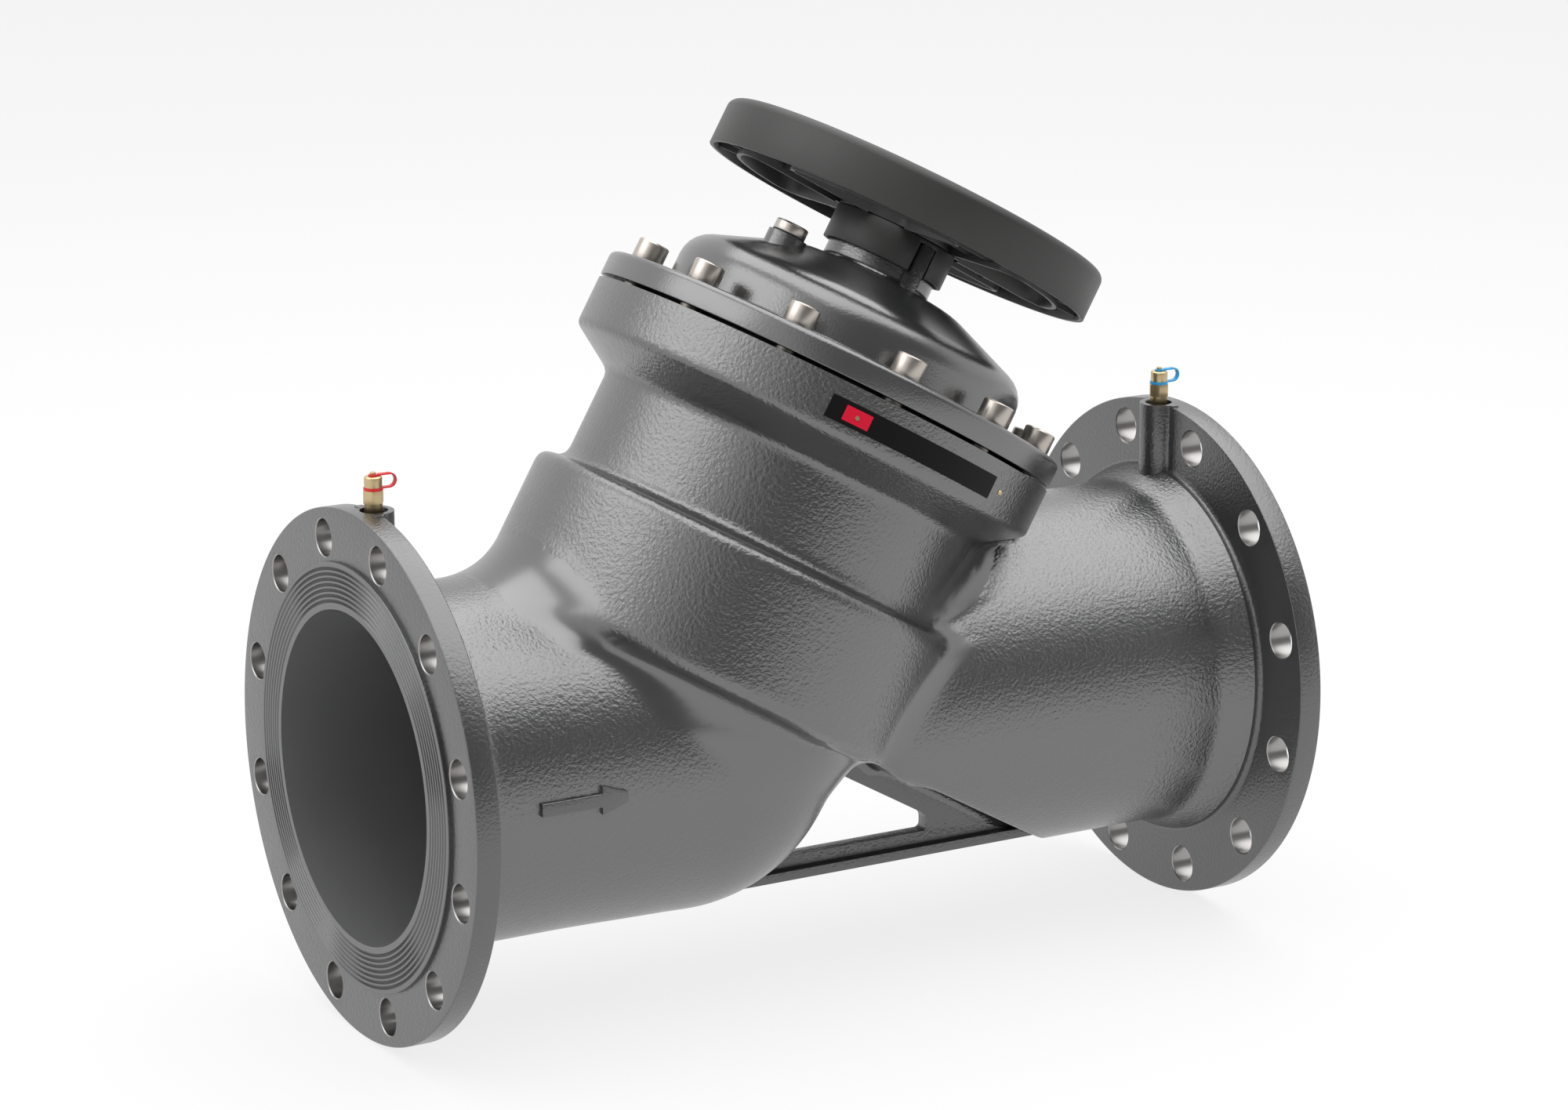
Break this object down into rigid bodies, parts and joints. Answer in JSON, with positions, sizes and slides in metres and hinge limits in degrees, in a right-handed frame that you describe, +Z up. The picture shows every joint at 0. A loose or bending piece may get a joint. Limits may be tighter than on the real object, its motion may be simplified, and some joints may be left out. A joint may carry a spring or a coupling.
{
  "type": "flanged balancing valve",
  "caption": "Oblique-pattern flanged balancing valve with a bolted bonnet, handwheel, indicator collar and two pressure test plugs.",
  "frame": {"origin": "centre of the inlet flange's sealing face", "axes": "+X with the flow from inlet to outlet, +Z up on the bonnet's side, -Y the side with the flow arrow and nameplate"},
  "size_m": [0.73, 0.4, 0.6695],
  "materials": {
    "casting": "dark grey enamel, semi-gloss, with a coarse orange-peel grain",
    "cone_casting": "grey enamel, satin",
    "stainless": "turned",
    "screws": "plain, warm grey",
    "brass": "turned, slightly dull",
    "rubber": "matt black",
    "gasket": "matt black fibre sheet",
    "bearing": "plain",
    "black_plastic": "fine grain, matt",
    "red_strap": "smooth red",
    "blue_strap": "smooth blue",
    "plate": "matt black, bare of print"
  },
  "bodies": {
    "casing": {"valve_body": "casting", "seat_ring": "stainless", "bonnet": "casting", "bonnet_gasket": "gasket", "bonnet_screws": "screws", "vent_plug": "screws", "vent_seal": "rubber", "stem_bush": "brass", "stem_seals": "rubber", "gland_nut": "brass", "thrust_washers": "bearing", "guide_keys": "stainless", "indicator_collar": "black_plastic", "nameplate": "plate", "nameplate_rivets": "brass", "inlet_test_nipple": "brass", "inlet_test_core": "rubber", "inlet_test_strap": "red_strap", "outlet_test_nipple": "brass", "outlet_test_core": "rubber", "outlet_test_strap": "blue_strap"},
    "wheel": {"handwheel": "black_plastic", "spindle": "stainless", "wheel_key": "stainless", "wheel_washer": "screws", "wheel_screw": "screws", "hub_cover": "black_plastic"},
    "cone": {"cone": "cone_casting", "cone_seal": "rubber", "throttle_cage": "cone_casting", "cage_screws": "screws", "spindle_nut": "brass", "nut_circlip": "stainless"},
    "inlet_cap": {"inlet_test_cap": "brass", "inlet_cap_pin": "brass"},
    "outlet_cap": {"outlet_test_cap": "brass", "outlet_cap_pin": "brass"}
  },
  "joints": [
    {"name": "wheel_turn", "type": "hinge", "parent": "casing", "child": "wheel", "pos_m": [0.47285, 0, 0.37733], "axis": [0.5, 0, 0.866], "range_deg": [0, 3960]},
    {"name": "cone_lift", "type": "slide", "parent": "casing", "child": "cone", "axis": [0.5, 0, 0.866], "range_m": [0, 0.066]},
    {"name": "inlet_cap_turn", "type": "hinge", "parent": "casing", "child": "inlet_cap", "pos_m": [0.0225, 0, 0.22], "axis": [0, 0, 1], "range_deg": [0, 1080]},
    {"name": "outlet_cap_turn", "type": "hinge", "parent": "casing", "child": "outlet_cap", "pos_m": [0.7075, 0, 0.22], "axis": [0, 0, 1], "range_deg": [0, 1080]}
  ],
  "couplings": [
    {"joint": "cone_lift", "follows": "wheel_turn", "m_per_rad": 0.00095493}
  ]
}
